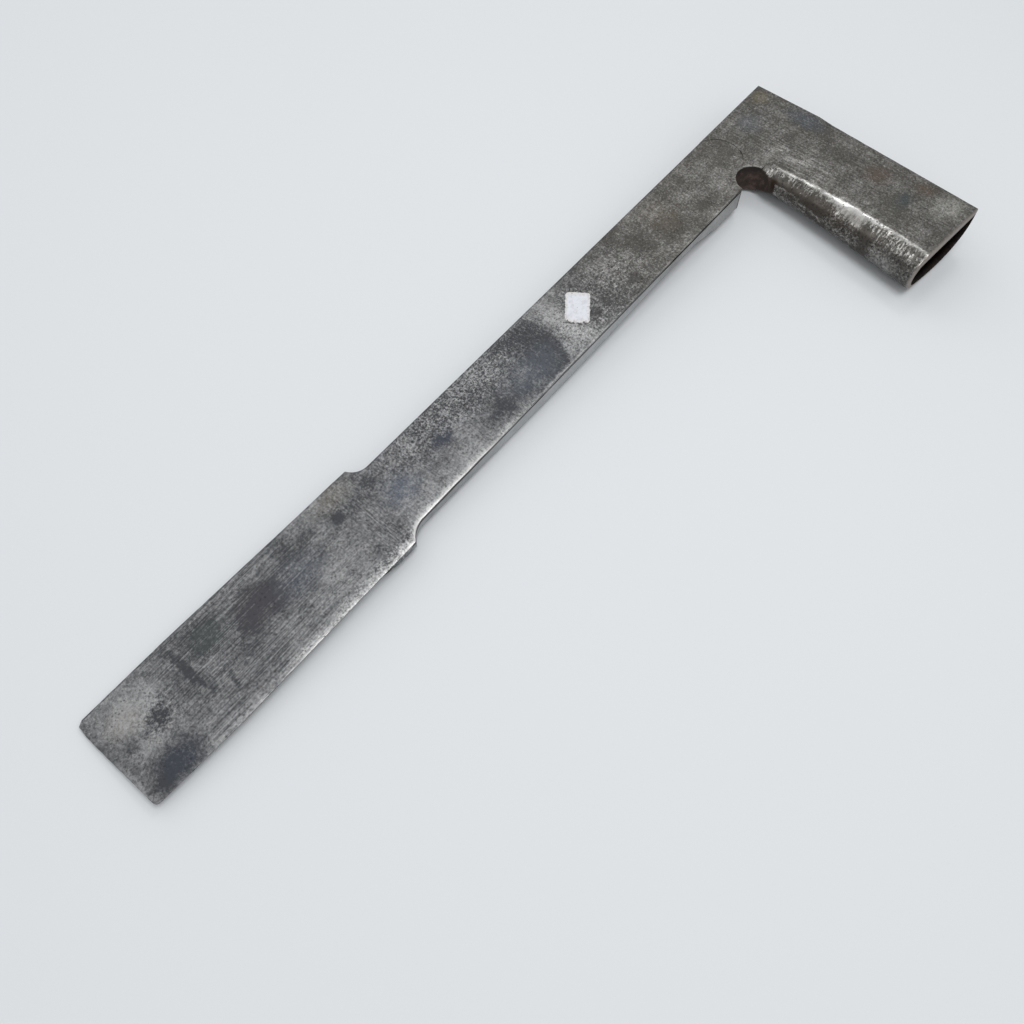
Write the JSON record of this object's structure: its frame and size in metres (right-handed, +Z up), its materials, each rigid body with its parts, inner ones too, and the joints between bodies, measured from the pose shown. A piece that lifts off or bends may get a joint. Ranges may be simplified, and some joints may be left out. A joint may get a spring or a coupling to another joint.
{
  "type": "socketed mortise axe",
  "caption": "All-metal mortise axe: long flat blade with a widened chisel bit at one end and a hollow handle socket set square across the other.",
  "frame": {"origin": "on the bench plane under the middle of the tool's bounding box", "axes": "+X along the blade towards the cutting edge, +Y towards the socket's mouth, +Z up out of the flat face"},
  "size_m": [0.471, 0.145, 0.0265],
  "materials": {
    "bit_steel": "worn steel, scratched along its length, with dark oxide patches",
    "backing_iron": "forged iron, dark and pitted",
    "shank_iron": "worn forged iron, mottled grey with bluish oxide",
    "socket_iron": "hammered forged plate, grey-brown, rusty in the notch and inside",
    "paper": "matt white self-adhesive paper"
  },
  "bodies": {
    "root": {"bit_steel": "bit_steel", "bit_back": "backing_iron", "shank_face": "shank_iron", "shank_back": "backing_iron", "socket_root": "socket_iron", "socket_shell": "socket_iron", "price_label": "paper"}
  },
  "joints": []
}
